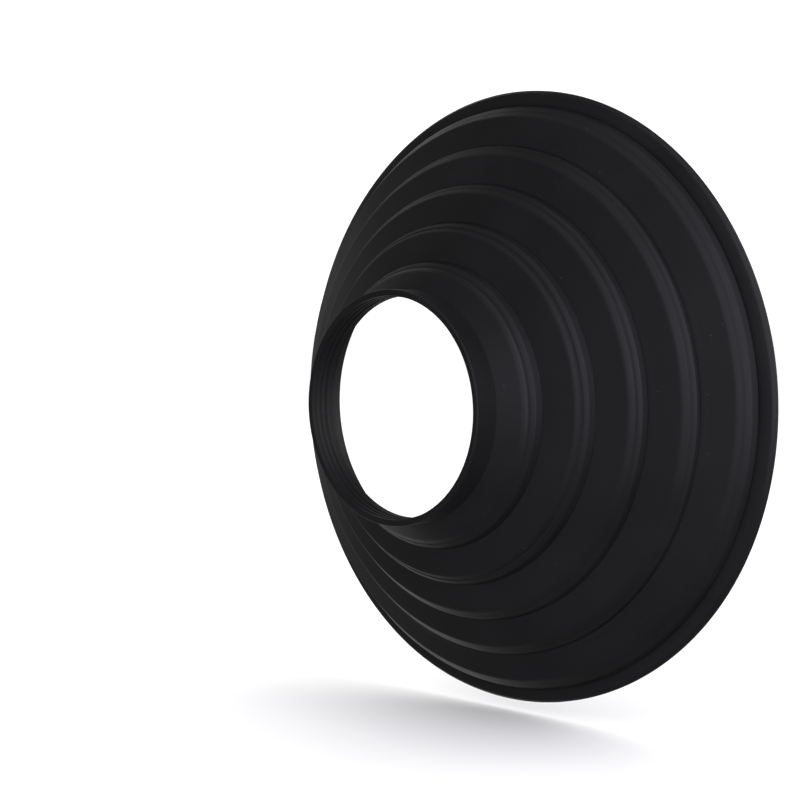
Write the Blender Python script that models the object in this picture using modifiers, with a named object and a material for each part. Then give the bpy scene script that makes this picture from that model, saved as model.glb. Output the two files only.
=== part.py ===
"""Collapsible silicone lens hood: a stepped cone that grips a lens barrel and folds back stage by stage.

Frame: metres, +Z up. The optical axis is +Y, the mouth opens towards +Y, and the origin is the
centre of the collar's rear opening. Every piece is a ring turned about the optical axis, so each
outline below is a closed loop of (radius, distance along +Y) in millimetres, at the +X side.

Run it with: blender --background --python part.py
"""

import math

import bpy

MM = 0.001
STEPS = 64  # flats round each turned piece
GAP = 0.3  # between pieces that touch on the moulding
SMOOTH_BELOW = math.radians(40)

# Collar: the sleeve that is stretched over the lens barrel.
CUFF_BORE_R = 35.8
CUFF_OUTER_R = 38.2
CUFF_LENGTH = 8.9
EDGE_BREAK = 0.4

# Five fold rings, each the same section, one step outwards and forwards of the last.
RING_COUNT = 5
RING_STEP_R = 13.0
RING_STEP_Y = 10.0
FIRST_CREASE_R = 47.4  # the foot of ring 1's steep outer wall
FIRST_CREASE_Y = 20.4
RING_WIDTH = 3.4  # radial reach of a ring's section
RING_HEIGHT = 6.3  # its reach along the axis

# Thin wall of the neck, the webs and the flange, measured along the axis.
WALL = 1.5

# Mouth.
RIM_R = 105.0
RIM_Y = 63.0
BEAD_INNER_R = 103.2
BEAD_REACH = 1.3  # the bead's front face stands this far ahead of its widest circle


def crease(ring):
    """Foot of a ring's outer wall, where the next web starts."""
    return (
        FIRST_CREASE_R + RING_STEP_R * (ring - 1),
        FIRST_CREASE_Y + RING_STEP_Y * (ring - 1),
    )


def shoulder(ring):
    """Inner corner of a ring, where the web before it ends."""
    r, y = crease(ring)
    return r - RING_WIDTH, y - RING_HEIGHT


def between(start, end, r):
    """Distance along the axis at radius r on the straight line from start to end."""
    return start[1] + (end[1] - start[1]) * (r - start[0]) / (end[0] - start[0])


def cuff_outline():
    return [
        (CUFF_BORE_R, EDGE_BREAK),
        (CUFF_BORE_R + EDGE_BREAK, 0.0),
        (CUFF_OUTER_R - EDGE_BREAK, 0.0),
        (CUFF_OUTER_R, EDGE_BREAK),
        (CUFF_OUTER_R, CUFF_LENGTH + WALL),
        (CUFF_BORE_R + EDGE_BREAK, CUFF_LENGTH + WALL),
        (CUFF_BORE_R, CUFF_LENGTH + WALL - EDGE_BREAK),
    ]


def wall_outline(start, end, inner_r, outer_r):
    """A thin conical wall: its rear face lies on the line from start to end."""
    near = between(start, end, inner_r)
    far = between(start, end, outer_r)
    return [(inner_r, near), (outer_r, far), (outer_r, far + WALL), (inner_r, near + WALL)]


def neck_outline():
    start = (CUFF_OUTER_R, CUFF_LENGTH)
    end = shoulder(1)
    return wall_outline(start, end, start[0] + GAP, end[0] - GAP)


def web_outline(ring):
    """The web from one ring's crease to the next ring's shoulder."""
    start = crease(ring)
    end = shoulder(ring + 1)
    return wall_outline(start, end, start[0] + GAP, end[0] - GAP)


def ring_outline(ring):
    """Two low ridges with a fine groove between them, a steep outer wall, and a thick inner side."""
    r, y = shoulder(ring)
    section = [
        (0.0, 0.0),
        (0.85, 1.05),
        (1.65, 2.35),
        (2.5, 3.2),
        (RING_WIDTH, RING_HEIGHT),
        (RING_WIDTH, RING_HEIGHT + WALL),
        (1.2, RING_HEIGHT + WALL),
        (0.3, 4.6),
        (0.0, WALL),
    ]
    return [(r + across, y + along) for across, along in section]


def flange_outline():
    start = crease(RING_COUNT)
    return wall_outline(start, (RIM_R, RIM_Y), start[0] + GAP, BEAD_INNER_R - GAP)


def bead_outline():
    """The rim's thicker edge: round outside, with a flat front face."""
    front = RIM_Y + BEAD_REACH
    rear = between(crease(RING_COUNT), (RIM_R, RIM_Y), BEAD_INNER_R)
    return [
        (BEAD_INNER_R, rear),
        (RIM_R - 0.8, RIM_Y - 1.0),
        (RIM_R - 0.2, RIM_Y - 0.6),
        (RIM_R, RIM_Y),
        (RIM_R - 0.15, RIM_Y + 0.8),
        (RIM_R - 0.6, front),
        (BEAD_INNER_R, front),
    ]


def silicone(name, colour, roughness):
    """Matt silicone rubber in one shade."""
    material = bpy.data.materials.new(name)
    material.use_nodes = True
    shader = material.node_tree.nodes["Principled BSDF"]
    shader.inputs["Base Color"].default_value = (*colour, 1.0)
    shader.inputs["Metallic"].default_value = 0.0
    shader.inputs["Roughness"].default_value = roughness
    return material


def turned(name, outline, material, collection):
    """A closed outline turned once about the optical axis.

    Outlines run outwards along the rear face and back along the front face. The turn needs them
    the other way round for its faces to point outwards.
    """
    points = [(r * MM, y * MM, 0.0) for r, y in reversed(outline)]
    edges = [(i, (i + 1) % len(points)) for i in range(len(points))]
    mesh = bpy.data.meshes.new(name)
    mesh.from_pydata(points, edges, [])
    mesh.materials.append(material)
    piece = bpy.data.objects.new(name, mesh)
    collection.objects.link(piece)
    screw = piece.modifiers.new("Turn", "SCREW")
    screw.axis = "Y"
    screw.angle = math.tau
    screw.steps = STEPS
    screw.render_steps = STEPS
    screw.use_merge_vertices = True
    screw.merge_threshold = 0.0001
    screw.use_smooth_shade = True
    split = piece.modifiers.new("Crisp edges", "EDGE_SPLIT")
    split.split_angle = SMOOTH_BELOW
    return piece


def clear_scene():
    for item in list(bpy.data.objects):
        bpy.data.objects.remove(item, do_unlink=True)


def main():
    clear_scene()
    hood = bpy.data.collections.new("Lens_hood")
    bpy.context.scene.collection.children.link(hood)
    thick = silicone("Ring silicone", (0.022, 0.021, 0.025), 0.55)
    thin = silicone("Web silicone", (0.016, 0.015, 0.018), 0.62)

    turned("collar_cuff", cuff_outline(), thick, hood)
    turned("neck", neck_outline(), thick, hood)
    for ring in range(1, RING_COUNT + 1):
        turned(f"fold_ring_{ring}", ring_outline(ring), thick, hood)
    for ring in range(1, RING_COUNT):
        turned(f"fold_web_{ring}", web_outline(ring), thin, hood)
    turned("rim_flange", flange_outline(), thin, hood)
    turned("rim_bead", bead_outline(), thick, hood)


main()
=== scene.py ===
"""Finished surface of a collapsible silicone lens hood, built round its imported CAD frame.

The optical axis is +Y and the mouth opens towards +Y. Every piece is a ring turned about that
axis, so a shape here is a profile of (radius, distance along +Y), carried once round a circle.
The main radii and distances are read from the CAD nodes, and this script adds the fine section:
the twin ridges of each fold ring, the fold lines, the rounded rim and the grip of the collar.
"""

from __future__ import annotations

import logging
import math
from dataclasses import dataclass, field
from enum import Enum

import bpy
import numpy as np
from mathutils import Matrix, Vector


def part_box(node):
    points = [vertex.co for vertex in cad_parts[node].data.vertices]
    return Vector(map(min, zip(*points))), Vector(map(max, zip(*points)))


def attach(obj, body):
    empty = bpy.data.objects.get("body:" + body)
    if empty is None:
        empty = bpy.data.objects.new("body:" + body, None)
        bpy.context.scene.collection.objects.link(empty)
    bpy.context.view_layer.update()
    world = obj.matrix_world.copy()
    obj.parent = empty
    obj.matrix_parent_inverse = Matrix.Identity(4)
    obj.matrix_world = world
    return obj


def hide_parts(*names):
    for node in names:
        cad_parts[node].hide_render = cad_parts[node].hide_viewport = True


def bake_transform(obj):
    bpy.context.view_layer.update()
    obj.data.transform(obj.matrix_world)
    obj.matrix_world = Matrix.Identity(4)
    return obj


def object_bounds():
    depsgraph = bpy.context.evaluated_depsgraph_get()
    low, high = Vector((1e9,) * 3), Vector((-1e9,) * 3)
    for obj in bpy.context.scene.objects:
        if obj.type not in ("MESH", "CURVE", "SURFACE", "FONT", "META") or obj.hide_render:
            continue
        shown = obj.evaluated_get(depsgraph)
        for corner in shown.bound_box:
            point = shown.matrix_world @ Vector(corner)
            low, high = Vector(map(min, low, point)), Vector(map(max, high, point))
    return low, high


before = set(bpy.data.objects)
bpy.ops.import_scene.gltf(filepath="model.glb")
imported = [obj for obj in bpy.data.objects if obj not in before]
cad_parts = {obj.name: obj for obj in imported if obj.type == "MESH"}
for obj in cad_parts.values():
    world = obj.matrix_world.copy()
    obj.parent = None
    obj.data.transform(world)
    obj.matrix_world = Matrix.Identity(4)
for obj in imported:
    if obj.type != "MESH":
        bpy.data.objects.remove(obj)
CAD_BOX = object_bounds()
LOG = logging.getLogger("lens_hood")

# A millimetre, in metres.
MM = 0.001

# The CAD body that each fold ring rides on, from the collar to the mouth, and how many rings.
RING_BODIES = ("collar", "stage_2", "stage_3", "stage_4", "mouth")
RINGS = len(RING_BODIES)

# Steps in one turn round the axis, and the edge angle above which shading breaks.
TURN_STEPS = 360
SHARP_ABOVE = math.radians(34)

# Rounded corners: the turn below which two sides count as one straight side, the largest share of
# a side that an arc may take, the longest step along an arc, and the fewest steps in it.
STRAIGHT_BELOW = math.radians(0.5)
ARC_SHARE = 0.48
ARC_STEP = math.radians(6)
ARC_LEAST = 3

# Profile points nearer to each other than this are one, in millimetres.
ONE_POINT = 1e-5

# Colour of the daylight soft boxes.
COOL = (0.87, 0.83, 1.0)


class Finish(Enum):
    """The two silicone finishes of the moulding."""

    RING = "ring_silicone"
    WEB = "web_silicone"


# ---------------------------------------------------------------------------------------------
# Profiles and turning
# ---------------------------------------------------------------------------------------------


@dataclass(frozen=True)
class Corner:
    """A corner of a profile, in millimetres.

    Attributes:
        r: radius from the optical axis.
        y: distance along the axis.
        rounding: radius of the arc that rounds the corner, or 0 for a crisp one.
    """

    r: float
    y: float
    rounding: float = 0.0

    def moved(self, r: float, y: float) -> Corner:
        """The same corner, shifted by r and y."""
        return Corner(self.r + r, self.y + y, self.rounding)


def smooth_profile(corners: list[Corner], closed: bool, pitch: float = 0.7) -> np.ndarray:
    """Turns corners into a fine polyline, with an arc at each rounded one.

    Where two sides meet at a turn of t, the arc of radius q that touches both leaves them at
    q tan(t / 2) before the corner. Its points sweep from one touching point to the other about
    the arc's centre, as a weighted sum of the two radii: (sin((1 - s) t) a + sin(s t) b) / sin t.
    Each straight stretch is then cut into equal steps, none longer than the pitch.

    Args:
        corners: the corners in order.
        closed: whether the last corner joins the first.
        pitch: longest straight step, in millimetres.

    Returns:
        Points as an (n, 2) array of radius and distance, in millimetres.
    """
    places = np.array([(c.r, c.y) for c in corners], float)
    runs: list[np.ndarray] = []
    for i, corner in enumerate(corners):
        here = places[i]
        if corner.rounding <= 0 or not (closed or 0 < i < len(corners) - 1):
            runs.append(here[None, :])
            continue
        to_last = places[i - 1] - here
        to_next = places[(i + 1) % len(corners)] - here
        far_last, far_next = np.linalg.norm(to_last), np.linalg.norm(to_next)
        to_last, to_next = to_last / far_last, to_next / far_next
        turn = math.pi - math.acos(float(np.clip(to_last @ to_next, -1.0, 1.0)))
        if turn < STRAIGHT_BELOW:
            runs.append(here[None, :])
            continue
        back = min(corner.rounding * math.tan(turn / 2), ARC_SHARE * far_last, ARC_SHARE * far_next)
        radius = back / math.tan(turn / 2)
        bisector = (to_last + to_next) / np.linalg.norm(to_last + to_next)
        centre = here + bisector * radius / math.cos(turn / 2)
        first, last = here + to_last * back - centre, here + to_next * back - centre
        share = np.linspace(0.0, 1.0, max(ARC_LEAST, math.ceil(turn / ARC_STEP)) + 1)[:, None]
        arc = (np.sin((1 - share) * turn) * first + np.sin(share * turn) * last) / math.sin(turn)
        runs.append(centre + arc)
    points = np.concatenate([*runs, runs[0][:1]] if closed else runs)
    gaps = np.linalg.norm(np.diff(points, axis=0), axis=1)
    points, gaps = points[np.r_[True, gaps > ONE_POINT]], gaps[gaps > ONE_POINT]
    counts = np.ceil(gaps / pitch).astype(int)
    side = np.repeat(np.arange(len(gaps)), counts)
    step = np.arange(counts.sum()) - np.repeat(np.cumsum(counts) - counts, counts)
    share = (step / counts[side])[:, None]
    fine = points[side] + (points[side + 1] - points[side]) * share
    return fine if closed else np.vstack([fine, points[-1:]])


@dataclass(frozen=True)
class Wave:
    """One wave of the mouth's rim: height sin(lobes t + phase), with t the angle round the axis.

    Attributes:
        lobes: how many times it rises and falls in a turn.
        height: its height, in millimetres.
        phase: where it starts, in radians.
    """

    lobes: int
    height: float
    phase: float = 0.0

    def at(self, turn: np.ndarray) -> np.ndarray:
        """The wave's height at each angle in turn."""
        return self.height * np.sin(self.lobes * turn + self.phase)


# How far the free rim hangs out of true, outwards and along the axis. At any other radius the
# waves are scaled by that radius over the rim's, to this power.
OUTWARD_WAVES = (Wave(2, 0.88, -0.76), Wave(3, 0.55, 2.65))
ALONG_WAVES = (Wave(2, 0.15, 2.0), Wave(7, 0.10))
SOFTNESS_POWER = 5


def settled(points: np.ndarray) -> np.ndarray:
    """Lets the soft rubber hang a little out of true, the same for every piece.

    A point moves outwards by q times the sum of the outward waves at its angle round the axis,
    and along the axis by q times the sum of the waves along it, where q is its radius over the
    rim's radius, to the fifth. So the collar stays round, and the mouth is softest.

    Args:
        points: true places, an (n, 3) array in millimetres.

    Returns:
        The settled places, as another such array.
    """
    radius = np.hypot(points[:, 0], points[:, 2])
    turn = np.arctan2(points[:, 2], points[:, 0])
    rim_radius = CAD_BOX[1].x / MM
    softness = (radius / rim_radius) ** SOFTNESS_POWER
    out = softness * sum(wave.at(turn) for wave in OUTWARD_WAVES)
    along = softness * sum(wave.at(turn) for wave in ALONG_WAVES)
    direction = np.stack([points[:, 0] / radius, np.zeros(len(points)), points[:, 2] / radius], axis=1)
    moved = points + direction * out[:, None]
    moved[:, 1] += along
    return moved


def turned(name: str, profile: np.ndarray, closed: bool) -> bpy.types.Object:
    """Carries a profile once round the optical axis.

    Profile point i at turn t_j = 2 pi j / n stands at (r_i cos t_j, y_i, r_i sin t_j). A profile
    that runs outwards along a rear face and back along a front face gives faces that point out.

    Args:
        name: the piece's name.
        profile: (radius, distance) points in millimetres.
        closed: whether the profile's last point joins its first.

    Returns:
        The piece, with its place in its mesh.
    """
    count = len(profile)
    turn = np.linspace(0.0, math.tau, TURN_STEPS, endpoint=False)
    radius, along = profile[:, 0], profile[:, 1]
    points = np.stack(
        [np.outer(np.cos(turn), radius), np.tile(along, (TURN_STEPS, 1)), np.outer(np.sin(turn), radius)],
        axis=2,
    ).reshape(-1, 3)
    near = np.arange(count if closed else count - 1)
    here = np.arange(TURN_STEPS)[:, None] * count
    ahead = (np.arange(1, TURN_STEPS + 1)[:, None] % TURN_STEPS) * count
    far = (near + 1) % count
    quads = np.stack([here + near, here + far, ahead + far, ahead + near], axis=2).reshape(-1, 4)
    mesh = bpy.data.meshes.new(name)
    mesh.from_pydata((settled(points) * MM).tolist(), [], quads.tolist())
    mesh.validate()
    mesh.shade_smooth()
    mesh.set_sharp_from_angle(angle=SHARP_ABOVE)
    piece = bpy.data.objects.new(name, mesh)
    bpy.context.scene.collection.objects.link(piece)
    return piece


# ---------------------------------------------------------------------------------------------
# Finishes
# ---------------------------------------------------------------------------------------------


# Places of the colour sockets of a Mix node, which share their names with its other sockets.
MIX_SHARE, MIX_FIRST, MIX_SECOND, MIX_RESULT = 0, 6, 7, 2


@dataclass(frozen=True)
class MattSilicone:
    """Matt black silicone rubber, moulded on a fine-blasted tool and handled a little.

    Attributes:
        name: the material's name.
        tint: colour of the clean rubber, linear.
        dust_tint: colour that a film of dust and bloom lends it.
        lint_tint: colour of a speck of lint.
        roughness: mean roughness.
        refraction: index of refraction of silicone.
        bloom: how much of the film shows at its thickest.
        film_scale: clouds of the film to the metre.
        film_span: cloud values at which the film starts to show and is thickest.
        shine_span: cloud values between which the roughness changes.
        shine_change: what the roughness gains or loses at each end of shine_span.
        grain: height of the moulded grain, in metres.
        grain_scale: bumps of the grain to the metre.
        grain_strength: how strongly the grain tilts the shading.
        specks: share of the speck cells that hold a speck of lint.
        speck_cells: speck cells to the metre, about 3 mm apart.
        speck_span: distances from a cell's point, in cells, where a speck is whole and is gone.
    """

    name: str
    tint: tuple[float, float, float] = (0.0040, 0.0037, 0.0046)
    dust_tint: tuple[float, float, float] = (0.040, 0.038, 0.044)
    lint_tint: tuple[float, float, float] = (0.06, 0.06, 0.065)
    roughness: float = 0.50
    refraction: float = 1.41
    bloom: float = 0.05
    film_scale: float = 38.0
    film_span: tuple[float, float] = (0.40, 0.72)
    shine_span: tuple[float, float] = (0.3, 0.75)
    shine_change: tuple[float, float] = (-0.05, 0.07)
    grain: float = 0.00003
    grain_scale: float = 1500.0
    grain_strength: float = 0.5
    specks: float = 0.16
    speck_cells: float = 330.0
    speck_span: tuple[float, float] = (0.035, 0.055)

    def build(self) -> bpy.types.Material:
        """Makes the material.

        Returns:
            The material, with its pattern on Object coordinates.
        """
        material = bpy.data.materials.new(self.name)
        material.use_nodes = True
        tree = material.node_tree
        shader = tree.nodes["Principled BSDF"]
        shader.inputs["Metallic"].default_value = 0.0
        shader.inputs["IOR"].default_value = self.refraction
        place = tree.nodes.new("ShaderNodeTexCoord").outputs["Object"]
        film = self._noise(tree, place, scale=self.film_scale, detail=5.0)
        grit = self._noise(tree, place, scale=self.grain_scale, detail=2.0)
        film_share = self._ranged(tree, film, self.film_span, (0.0, self.bloom))
        speck = self._specks(tree, place)
        filmed = self._mix(tree, film_share, (*self.tint, 1.0), (*self.dust_tint, 1.0))
        coloured = self._mix(tree, speck, filmed, (*self.lint_tint, 1.0))
        tree.links.new(coloured, shader.inputs["Base Color"])
        shiny, dull = self.shine_change
        shine_range = (self.roughness + shiny, self.roughness + dull)
        shine = self._ranged(tree, film, self.shine_span, shine_range)
        tree.links.new(shine, shader.inputs["Roughness"])
        bump = tree.nodes.new("ShaderNodeBump")
        bump.inputs["Strength"].default_value = self.grain_strength
        bump.inputs["Distance"].default_value = self.grain
        tree.links.new(grit, bump.inputs["Height"])
        tree.links.new(bump.outputs["Normal"], shader.inputs["Normal"])
        return material

    @staticmethod
    def _noise(
        tree: bpy.types.NodeTree, place: bpy.types.NodeSocket, scale: float, detail: float
    ) -> bpy.types.NodeSocket:
        """Adds a cloudy pattern.

        Args:
            tree: the material's nodes.
            place: the coordinates that it reads.
            scale: clouds to the metre.
            detail: how many finer layers it has.

        Returns:
            The pattern, from 0 to 1.
        """
        noise = tree.nodes.new("ShaderNodeTexNoise")
        noise.inputs["Scale"].default_value = scale
        noise.inputs["Detail"].default_value = detail
        tree.links.new(place, noise.inputs["Vector"])
        return noise.outputs["Fac"]

    @staticmethod
    def _ranged(
        tree: bpy.types.NodeTree,
        value: bpy.types.NodeSocket,
        source: tuple[float, float],
        target: tuple[float, float],
    ) -> bpy.types.NodeSocket:
        """Carries a value from one range to another, and holds it inside that.

        Args:
            tree: the material's nodes.
            value: the value to carry.
            source: the range's ends before.
            target: what these ends become.

        Returns:
            The carried value.
        """
        ranged = tree.nodes.new("ShaderNodeMapRange")
        names = ("From Min", "From Max", "To Min", "To Max")
        for name, number in zip(names, (*source, *target)):
            ranged.inputs[name].default_value = number
        tree.links.new(value, ranged.inputs["Value"])
        return ranged.outputs["Result"]

    @staticmethod
    def _mix(
        tree: bpy.types.NodeTree,
        share: bpy.types.NodeSocket,
        first: bpy.types.NodeSocket | tuple[float, ...],
        second: tuple[float, ...],
    ) -> bpy.types.NodeSocket:
        """Mixes two colours.

        Args:
            tree: the material's nodes.
            share: how much of the second shows, from 0 to 1.
            first: the first colour, plain or from another node.
            second: the second colour.

        Returns:
            The mixed colour.
        """
        mix = tree.nodes.new("ShaderNodeMix")
        mix.data_type = "RGBA"
        tree.links.new(share, mix.inputs[MIX_SHARE])
        if isinstance(first, tuple):
            mix.inputs[MIX_FIRST].default_value = first
        else:
            tree.links.new(first, mix.inputs[MIX_FIRST])
        mix.inputs[MIX_SECOND].default_value = second
        return mix.outputs[MIX_RESULT]

    def _specks(self, tree: bpy.types.NodeTree, place: bpy.types.NodeSocket) -> bpy.types.NodeSocket:
        """Adds pale specks of lint: small balls round the points of some of the speck cells.

        Args:
            tree: the material's nodes.
            place: the coordinates that they read.

        Returns:
            1 in a speck and 0 outside it, with a soft edge.
        """
        cells = tree.nodes.new("ShaderNodeTexVoronoi")
        cells.inputs["Scale"].default_value = self.speck_cells
        tree.links.new(place, cells.inputs["Vector"])
        near = self._ranged(tree, cells.outputs["Distance"], self.speck_span, (1.0, 0.0))
        split = tree.nodes.new("ShaderNodeSeparateColor")
        tree.links.new(cells.outputs["Color"], split.inputs["Color"])
        chosen = tree.nodes.new("ShaderNodeMath")
        chosen.operation = "LESS_THAN"
        chosen.inputs[1].default_value = self.specks
        tree.links.new(split.outputs["Red"], chosen.inputs[0])
        both = tree.nodes.new("ShaderNodeMath")
        both.operation = "MULTIPLY"
        tree.links.new(near, both.inputs[0])
        tree.links.new(chosen.outputs["Value"], both.inputs[1])
        return both.outputs["Value"]


# ---------------------------------------------------------------------------------------------
# The hood
# ---------------------------------------------------------------------------------------------


@dataclass
class HoodSizes:
    """The hood's main sizes in millimetres, read from the CAD nodes.

    Attributes:
        wall: thin wall of the neck, the webs and the flange, along the axis.
        gap: clearance that the CAD keeps between neighbouring nodes.
        crease: radius and distance of each ring's crease, where its steep outer wall ends.
        shoulder: radius and distance of each ring's shoulder, where the ring starts.
        cuff_r: outer radius of the cuff.
        cuff_end: distance at which the cuff's outside meets the neck.
        rim_r: outer radius of the bead.
        rim_front: distance of the bead's flat front.
    """

    wall: float = 1.5
    gap: float = 0.3
    crease: dict[int, tuple[float, float]] = field(init=False, default_factory=dict)
    shoulder: dict[int, tuple[float, float]] = field(init=False, default_factory=dict)
    cuff_r: float = field(init=False)
    cuff_end: float = field(init=False)
    rim_r: float = field(init=False)
    rim_front: float = field(init=False)

    def __post_init__(self) -> None:
        """Reads each ring's crease and shoulder, and the ends of the cuff and the rim."""
        for ring in range(1, RINGS + 1):
            low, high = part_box(f"fold_ring_{ring}")
            before = "neck" if ring == 1 else f"fold_web_{ring - 1}"
            self.crease[ring] = (high.x / MM, high.y / MM - self.wall)
            self.shoulder[ring] = (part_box(before)[1].x / MM + self.gap, low.y / MM)
        cuff_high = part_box("collar_cuff")[1]
        self.cuff_r = cuff_high.x / MM
        self.cuff_end = cuff_high.y / MM - self.wall
        bead_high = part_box("rim_bead")[1]
        self.rim_r = bead_high.x / MM
        self.rim_front = bead_high.y / MM

    def fold_line(self, ring: int) -> tuple[float, float]:
        """Radius and distance of the line where the wall outside a ring starts."""
        return SECTIONS[ring].fold_line(self.crease[ring])


@dataclass(frozen=True)
class RingSection:
    """Fine section of one fold ring, in millimetres.

    A chamfer climbs from the shoulder to the brow, and the steep outer wall drops from the brow
    to the crease, where the next web starts. A shallow groove runs along the chamfer and leaves a
    soft ridge on each side of it.

    Attributes:
        groove_at: distance of the groove from the shoulder, up the chamfer.
        groove_depth: depth of the groove.
        groove_half: half of the groove's width.
        groove_points: points across half of the groove.
        fold: where the outer wall meets the next web, from the CAD crease.
        crease_depth: depth of the fold line between the outer wall and the next web.
        lip: height of the soft lip on the web beside the fold line.
        brow: where the outer wall starts, from the shoulder.
        shoulder_round: radius at the shoulder.
        brow_round: radius at the brow.
    """

    groove_at: float
    groove_depth: float
    groove_half: float = 1.0
    groove_points: int = 9
    fold: tuple[float, float] = (0.0, 0.0)
    crease_depth: float = 0.0
    lip: float = 0.0
    brow: tuple[float, float] = (2.8, 3.6)
    shoulder_round: float = 2.2
    brow_round: float = 0.8

    def fold_line(self, crease: tuple[float, float]) -> tuple[float, float]:
        """Radius and distance of the line where the outer wall meets the next web."""
        return crease[0] + self.fold[0], crease[1] + self.fold[1]

    def groove(self, shoulder: tuple[float, float], first: float, last: float) -> list[Corner]:
        """A stretch of the chamfer across half of the groove.

        With x the distance from the groove's middle as a share of its half width, the chamfer is
        pressed in by depth (1 + cos(pi x)) / 2, so the groove fades into it without an edge.

        Args:
            shoulder: place of the ring's shoulder.
            first: where the stretch starts, as such a share.
            last: where it ends.

        Returns:
            Points from first to last, all crisp.
        """
        up = np.array(self.brow) / math.hypot(*self.brow)
        inward = np.array([-up[1], up[0]])
        share = np.linspace(first, last, self.groove_points)[:, None]
        press = self.groove_depth * (1.0 + np.cos(math.pi * share)) / 2
        points = np.array(shoulder) + up * (self.groove_at + share * self.groove_half) + inward * press
        return [Corner(float(r), float(y)) for r, y in points]


# The rings by number, from the collar to the mouth. The last two stand a little taller.
SECTIONS = {
    1: RingSection(groove_at=2.1, groove_depth=0.16),
    2: RingSection(groove_at=2.1, groove_depth=0.28),
    3: RingSection(groove_at=2.4, groove_depth=0.11, fold=(-0.1, -0.5), crease_depth=0.02, lip=0.04),
    4: RingSection(
        groove_at=2.9,
        groove_depth=0.07,
        fold=(-0.15, -1.1),
        crease_depth=0.02,
        lip=0.09,
        brow=(3.0, 3.85),
        brow_round=0.6,
    ),
    5: RingSection(groove_at=2.3, groove_depth=0.07, fold=(0.6, 0.2), brow=(3.2, 4.1), brow_round=2.0),
}


@dataclass
class FoldRing:
    """One thick fold ring, which keeps its shape when the hood folds.

    Attributes:
        ring: its number, from 1 at the collar to 5 at the mouth.
        sizes: the hood's main sizes.
        finish: the silicone it is dressed in.
    """

    ring: int
    sizes: HoodSizes
    finish: bpy.types.Material

    def corners(self) -> list[Corner]:
        """The closed section, outwards along the rear face and back along the front face.

        The seam, the outer wall and the mouth side are given from the ring's shoulder.

        Returns:
            The section's corners, in place.
        """
        r, y = shoulder = self.sizes.shoulder[self.ring]
        crease = self.sizes.crease[self.ring]
        fine = SECTIONS[self.ring]
        foot_r, foot_y = fine.fold_line(crease)
        foot_r, foot_y = foot_r - r, foot_y - y
        edge_r, edge_y = crease[0] - r, crease[1] - y
        seam_under_the_wall_behind = [
            Corner(-1.3, 0.62),
            Corner(-0.2, 0.75),
            Corner(0.9, 2.3),
        ]
        steep_outer_wall = [
            Corner(*fine.brow, fine.brow_round),
            Corner(foot_r, foot_y),
            Corner(foot_r + 0.02, foot_y + fine.crease_depth + 0.15),
        ]
        mouth_side = [
            Corner(edge_r - 0.1, edge_y + 1.45),
            Corner(edge_r - 0.8, edge_y + 1.72, 0.6),
            Corner(1.15, edge_y + 1.35, 0.7),
            Corner(0.35, 4.4, 3.0),
            Corner(0.1, 1.42, 1.0),
            Corner(-1.0, 1.02),
        ]
        return [
            *(corner.moved(r, y) for corner in seam_under_the_wall_behind),
            *fine.groove(shoulder, 0.0, 1.0),
            *(corner.moved(r, y) for corner in steep_outer_wall + mouth_side),
        ]

    def make(self, body: str) -> bpy.types.Object:
        """Makes the ring, dresses it and puts it on its body.

        Args:
            body: the CAD body that it rides on.

        Returns:
            The finished piece.
        """
        piece = turned(f"ring_{self.ring}", smooth_profile(self.corners(), closed=True), closed=True)
        piece.data.materials.append(self.finish)
        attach(piece, body)
        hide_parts(f"fold_ring_{self.ring}")
        return piece


@dataclass
class FoldWeb:
    """The thin wall between two rings, which turns inside out when the hood folds.

    Attributes:
        web: its number, that of the ring behind it.
        sizes: the hood's main sizes.
        finish: the silicone it is dressed in.
        thickness: thickness of the wall, in millimetres.
        pitch: longest step of its profile, in millimetres.
        tuck: how far it starts inwards of the fold line and forward of it, in millimetres.
        lip_at: radius of the soft lip's top, from the fold line, in millimetres.
        lip_ends: radius where the lip has faded out, from the fold line, in millimetres.
    """

    web: int
    sizes: HoodSizes
    finish: bpy.types.Material
    thickness: float = 1.3
    pitch: float = 0.45
    tuck: tuple[float, float] = (0.35, 0.18)
    lip_at: float = 0.8
    lip_ends: float = 2.2

    def corners(self) -> list[Corner]:
        """The rear face from under one ring's outer wall to the groove of the next ring.

        It starts hidden under the outer wall, comes out at the fold line, swells into a soft lip
        and then runs straight to the next ring's shoulder and up to the middle of its groove.

        Returns:
            The open profile's corners, in place.
        """
        behind, ahead = SECTIONS[self.web], SECTIONS[self.web + 1]
        start_r, start_y = self.sizes.fold_line(self.web)
        end_r, end_y = end = self.sizes.shoulder[self.web + 1]
        slope = (end_y - start_y) / (end_r - start_r)
        return [
            Corner(start_r - self.tuck[0], start_y + behind.crease_depth + self.tuck[1]),
            Corner(start_r + 0.12, start_y + behind.crease_depth),
            Corner(start_r + self.lip_at, start_y + self.lip_at * slope - behind.lip, 0.8),
            Corner(start_r + self.lip_ends, start_y + self.lip_ends * slope, 3.0),
            Corner(end_r, end_y, ahead.shoulder_round),
            *ahead.groove(end, -1.0, 0.0),
        ]

    def make(self, inner: str, outer: str) -> bpy.types.Object:
        """Makes the web and dresses it.

        Args:
            inner: the body of the ring behind it. Not used.
            outer: the body of the ring in front of it. Not used.

        Returns:
            The finished piece.
        """
        profile = smooth_profile(self.corners(), closed=False, pitch=self.pitch)
        piece = turned(f"web_{self.web}", profile, closed=False)
        piece.data.materials.append(self.finish)
        wall = piece.modifiers.new("Wall", "SOLIDIFY")
        wall.thickness = self.thickness * MM
        wall.offset = -1.0
        wall.use_even_offset = True
        start_y = self.sizes.fold_line(self.web)[1] * MM
        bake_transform(piece)
        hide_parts(f"fold_web_{self.web}")
        return piece


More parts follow.
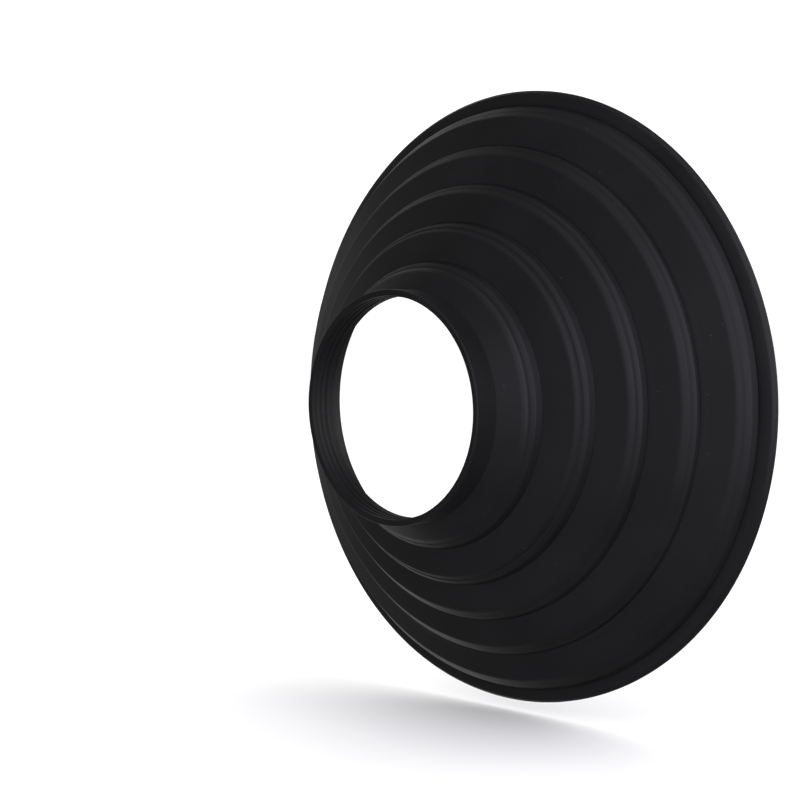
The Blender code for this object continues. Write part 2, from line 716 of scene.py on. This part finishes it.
@dataclass
class Collar:
    """The cuff that is stretched over the lens barrel, and the neck that widens from it.

    Attributes:
        sizes: the hood's main sizes.
        finish: the silicone it is dressed in.
        wall: thickness of the cuff at its grip ribs, in millimetres.
        grip_ribs: how many low ribs grip the barrel inside.
        rib_height: how far they stand in, in millimetres.
        rib_half: half of a rib's width, at its crest and at its foot, in millimetres.
        rib_round: radius of a rib's edges, in millimetres.
        lap: how far the cuff reaches forward past the start of the neck, in millimetres.
    """

    sizes: HoodSizes
    finish: bpy.types.Material
    wall: float = 2.4
    grip_ribs: int = 3
    rib_height: float = 0.3
    rib_half: tuple[float, float] = (0.35, 0.7)
    rib_round: float = 0.25
    lap: float = 1.3

    def cuff_corners(self) -> list[Corner]:
        """The cuff's closed section, with low grip ribs round its bore.

        Returns:
            The section's corners, in place.
        """
        outer = self.sizes.cuff_r
        bore = outer - self.wall
        end = self.sizes.cuff_end
        crest_half, foot_half = self.rib_half
        ribs = []
        for rib in range(self.grip_ribs, 0, -1):
            middle = end * rib / (self.grip_ribs + 1)
            ribs += [
                Corner(bore + self.rib_height, middle + foot_half, self.rib_round),
                Corner(bore, middle + crest_half, self.rib_round),
                Corner(bore, middle - crest_half, self.rib_round),
                Corner(bore + self.rib_height, middle - foot_half, self.rib_round),
            ]
        return [
            Corner(bore + self.rib_height, 0.0, 0.5),
            Corner(outer, 0.0, 0.55),
            Corner(outer, end + 0.5),
            Corner(outer - 0.6, end + self.lap),
            Corner(bore + self.rib_height, end + self.lap, 0.5),
            *ribs,
        ]

    def neck_corners(self) -> list[Corner]:
        """The neck's closed section, up to the groove of the first ring.

        It runs outwards along the rear face to the groove, and back along the mouth side.

        Returns:
            The section's corners, in place.
        """
        end_r, end_y = end = self.sizes.shoulder[1]
        start_r, start_y = self.sizes.cuff_r, self.sizes.cuff_end
        ahead = SECTIONS[1]
        return [
            Corner(start_r - 0.9, start_y - 0.4),
            Corner(start_r, start_y, 1.0),
            Corner(end_r, end_y, ahead.shoulder_round),
            *ahead.groove(end, -1.0, 0.0),
            Corner(end_r + 0.6, end_y + 2.9),
            Corner(end_r - 0.7, end_y + 1.35, 1.0),
            Corner(start_r - 0.8, start_y + 1.45, 1.2),
            Corner(start_r - 1.7, start_y + 0.9),
        ]

    def make(self, body: str) -> list[bpy.types.Object]:
        """Makes the cuff and the neck on their body.

        Args:
            body: the CAD body that they ride on.

        Returns:
            The two pieces.
        """
        cuff = turned("cuff", smooth_profile(self.cuff_corners(), closed=True), closed=True)
        neck = turned("neck_cone", smooth_profile(self.neck_corners(), closed=True), closed=True)
        for piece, node in ((cuff, "collar_cuff"), (neck, "neck")):
            piece.data.materials.append(self.finish)
            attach(piece, body)
            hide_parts(node)
        return [cuff, neck]


@dataclass
class Mouth:
    """The flange outside the last ring and the rounded bead at its edge.

    Attributes:
        sizes: the hood's main sizes.
        flange_finish: the silicone of the flange.
        bead_finish: the silicone of the bead.
        bead_wide: width of the bead, in from the edge, in millimetres.
        bead_deep: depth of the bead, back from the front, in millimetres.
    """

    sizes: HoodSizes
    flange_finish: bpy.types.Material
    bead_finish: bpy.types.Material
    bead_wide: float = 2.3
    bead_deep: float = 3.1

    def flange_corners(self) -> list[Corner]:
        """The flange's closed section.

        It runs outwards from under ring 5's outer wall to the bead, and back along the mouth side.

        Returns:
            The section's corners, in place.
        """
        crease_r, crease_y = self.sizes.crease[RINGS]
        start_r, start_y = self.sizes.fold_line(RINGS)
        end_r = self.sizes.rim_r - self.bead_wide
        front = self.sizes.rim_front
        return [
            Corner(start_r - 0.35, start_y + 0.18),
            Corner(start_r + 0.12, start_y),
            Corner(start_r + 1.4, start_y + 0.2, 4.0),
            Corner(end_r, front - self.bead_deep),
            Corner(end_r, front - 2.25),
            Corner(crease_r + 0.6, crease_y + 1.75),
            Corner(crease_r - 0.6, crease_y + 1.55),
        ]

    def bead_corners(self) -> list[Corner]:
        """The bead's closed section, curled over at its edge, with a flat front face.

        Returns:
            The section's corners, in place.
        """
        outer, front = self.sizes.rim_r, self.sizes.rim_front
        return [
            Corner(outer - 2.9, front - 2.75),
            Corner(outer - self.bead_wide, front - self.bead_deep),
            Corner(outer - 1.0, front - 2.6, 1.5),
            Corner(outer - 0.1, front - 1.4, 0.9),
            Corner(outer, front - 0.1, 0.4),
            Corner(outer - 0.6, front, 0.3),
            Corner(outer - 2.2, front, 0.6),
            Corner(outer - 2.8, front - 1.1),
        ]

    def make(self, body: str) -> list[bpy.types.Object]:
        """Makes the flange and the bead on their body.

        Args:
            body: the CAD body that they ride on.

        Returns:
            The two pieces.
        """
        flange = turned("flange", smooth_profile(self.flange_corners(), closed=True), closed=True)
        bead = turned("bead", smooth_profile(self.bead_corners(), closed=True), closed=True)
        for piece, node, finish, kind in (
            (flange, "rim_flange", self.flange_finish, Finish.WEB),
            (bead, "rim_bead", self.bead_finish, Finish.RING),
        ):
            piece.data.materials.append(finish)
            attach(piece, body)
            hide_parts(node)
        return [flange, bead]


# ---------------------------------------------------------------------------------------------
# Studio
# ---------------------------------------------------------------------------------------------


def towards(azimuth: float, elevation: float) -> Vector:
    """Unit vector from the hood towards a place round it.

    With a the azimuth and e the elevation it is (sin a cos e, -cos a cos e, sin e).

    Args:
        azimuth: angle round the hood, in degrees from -Y towards +X.
        elevation: angle above the horizon, in degrees.

    Returns:
        The vector.
    """
    turn, rise = math.radians(azimuth), math.radians(elevation)
    return Vector((math.sin(turn) * math.cos(rise), -math.cos(turn) * math.cos(rise), math.sin(rise)))


@dataclass(frozen=True)
class SoftBox:
    """A soft studio light that faces the hood.

    Attributes:
        name: the light's name.
        azimuth: where it stands round the hood, in degrees from -Y towards +X.
        elevation: its height above the horizon, in degrees.
        wide: width of its face, in metres.
        tall: height of its face, in metres.
        glow: radiance of its face, where a white wall in the set has 1.
        tint: colour of its light.
        distance: how far it stands from the hood's centre, in metres.
    """

    name: str
    azimuth: float
    elevation: float
    wide: float
    tall: float
    glow: float
    tint: tuple[float, float, float] = (1.0, 1.0, 1.0)
    distance: float = 1.6

    def place(self, centre: Vector) -> None:
        """Puts the light in the scene. Its power is pi times its face's area times its glow.

        Args:
            centre: the hood's centre, which it faces.
        """
        away = towards(self.azimuth, self.elevation)
        light = bpy.data.lights.new(self.name, "AREA")
        light.shape = "RECTANGLE"
        light.size = self.wide
        light.size_y = self.tall
        light.energy = math.pi * self.wide * self.tall * self.glow
        light.color = self.tint
        lamp = bpy.data.objects.new(self.name, light)
        lamp.location = centre + away * self.distance
        lamp.rotation_mode = "QUATERNION"
        lamp.rotation_quaternion = away.to_track_quat("Z", "Y")
        lamp.visible_camera = False
        bpy.context.scene.collection.objects.link(lamp)


@dataclass
class Studio:
    """Plain pale floor, soft lights and the camera.

    Attributes:
        sizes: the hood's main sizes.
        lens: focal length in millimetres.
        sensor: width of the sensor in millimetres.
        clip: nearest and farthest distance that the camera sees, in metres.
        azimuth: where the camera stands round the hood, in degrees from -Y towards +X.
        elevation: how far it looks down, in degrees.
        aim_behind: how far behind the bead's front the mouth's centre is taken, in millimetres.
        aside: how far the mouth's centre stands right of the picture's middle, in metres.
        away: the distance of the mouth's centre along the line of sight, in metres.
        floor_radius: radius of the floor, in metres.
        floor_sides: sides of the floor's outline.
        floor_below: how far the floor lies under the hood, in metres.
        floor_grey: brightness of the floor.
        surround: brightness of the white surround.
        surround_in_gloss: its brightness as mirrored in gloss, as if dark flags stood round the set.
        lights: the soft boxes.
    """

    sizes: HoodSizes
    lens: float = 81.0
    sensor: float = 36.0
    clip: tuple[float, float] = (0.01, 50.0)
    azimuth: float = 44.23
    elevation: float = 3.35
    aim_behind: float = 1.3
    aside: float = 0.0403
    away: float = 0.624
    floor_radius: float = 6.0
    floor_sides: int = 64
    floor_below: float = 0.004
    floor_grey: float = 0.88
    surround: float = 1.25
    surround_in_gloss: float = 0.14
    lights: tuple[SoftBox, ...] = (
        SoftBox("key", azimuth=84.0, elevation=18.0, wide=1.0, tall=2.2, glow=2.3, tint=COOL),
        SoftBox("front", azimuth=27.0, elevation=9.0, wide=0.8, tall=1.8, glow=0.68, tint=COOL),
        SoftBox("low_front", azimuth=-14.0, elevation=-38.0, wide=0.7, tall=0.6, glow=0.6, tint=COOL),
        SoftBox("left", azimuth=-97.0, elevation=2.0, wide=0.75, tall=0.9, glow=0.6),
        SoftBox("rear_left", azimuth=-126.0, elevation=32.0, wide=0.6, tall=0.7, glow=1.1),
        SoftBox("low_left", azimuth=-122.0, elevation=-33.0, wide=0.8, tall=0.8, glow=1.1),
        SoftBox("behind_right", azimuth=150.0, elevation=12.0, wide=0.9, tall=1.4, glow=1.4),
        SoftBox("overhead", azimuth=100.0, elevation=78.0, wide=0.8, tall=0.8, glow=0.8),
    )

    def set_camera(self) -> None:
        """Stands the camera where it sees the hood from behind, to the right of the collar."""
        turn = math.radians(self.azimuth)
        right = Vector((math.cos(turn), math.sin(turn), 0.0))
        back = towards(self.azimuth, self.elevation)
        mouth = Vector((0.0, (self.sizes.rim_front - self.aim_behind) * MM, 0.0))
        camera = bpy.data.cameras.new("camera")
        camera.lens = self.lens
        camera.sensor_width = self.sensor
        camera.clip_start, camera.clip_end = self.clip
        stand = bpy.data.objects.new("camera", camera)
        stand.matrix_world = Matrix.Translation(mouth - right * self.aside + back * self.away) @ (
            Matrix((right, back.cross(right), back)).transposed().to_4x4()
        )
        bpy.context.scene.collection.objects.link(stand)
        bpy.context.scene.camera = stand

    def lay_floor(self) -> None:
        """Lays a wide disc just under the hood, pale and matt."""
        mesh = bpy.data.meshes.new("floor")
        turn = np.linspace(0.0, math.tau, self.floor_sides, endpoint=False)
        height = np.full(self.floor_sides, CAD_BOX[0].z - self.floor_below)
        rim = np.stack([self.floor_radius * np.cos(turn), self.floor_radius * np.sin(turn), height], axis=1)
        mesh.from_pydata(rim.tolist(), [], [list(range(self.floor_sides))])
        material = bpy.data.materials.new("pale floor")
        material.use_nodes = True
        shader = material.node_tree.nodes["Principled BSDF"]
        shader.inputs["Base Color"].default_value = (self.floor_grey, self.floor_grey, self.floor_grey, 1.0)
        shader.inputs["Roughness"].default_value = 0.8
        shader.inputs["Specular IOR Level"].default_value = 0.2
        mesh.materials.append(material)
        floor = bpy.data.objects.new("floor", mesh)
        floor.visible_glossy = False
        floor.visible_shadow = False
        bpy.context.scene.collection.objects.link(floor)

    def light(self) -> None:
        """Lights the hood softly, before a plain white surround that is dim in gloss."""
        low, high = CAD_BOX
        for soft_box in self.lights:
            soft_box.place((low + high) / 2)
        world = bpy.data.worlds.new("surround")
        bpy.context.scene.world = world
        world.use_nodes = True
        tree = world.node_tree
        strength = tree.nodes.new("ShaderNodeMapRange")
        strength.inputs["To Min"].default_value = self.surround
        strength.inputs["To Max"].default_value = self.surround_in_gloss
        in_gloss = tree.nodes.new("ShaderNodeLightPath").outputs["Is Glossy Ray"]
        tree.links.new(in_gloss, strength.inputs["Value"])
        glow = tree.nodes["Background"]
        glow.inputs["Color"].default_value = (1.0, 1.0, 1.0, 1.0)
        tree.links.new(strength.outputs["Result"], glow.inputs["Strength"])
        bpy.context.scene.view_settings.view_transform = "Standard"


def main() -> None:
    """Builds the hood from the collar to the mouth, then the studio."""
    logging.basicConfig(level=logging.INFO, format="%(name)s: %(message)s")
    sizes = HoodSizes()
    thick = MattSilicone("Ring silicone").build()
    thin = MattSilicone("Web silicone", roughness=0.56).build()
    made = Collar(sizes, thick).make(RING_BODIES[0])
    for ring, body in enumerate(RING_BODIES, start=1):
        made.append(FoldRing(ring, sizes, thick).make(body))
    for web, (inner, outer) in enumerate(zip(RING_BODIES, RING_BODIES[1:]), start=1):
        made.append(FoldWeb(web, sizes, thin).make(inner, outer))
    made += Mouth(sizes, thin, thick).make(RING_BODIES[-1])
    for piece in made:
        LOG.info("%s: %d faces", piece.name, len(piece.data.polygons))
    studio = Studio(sizes)
    studio.lay_floor()
    studio.light()
    studio.set_camera()


if __name__ == "__main__":
    main()
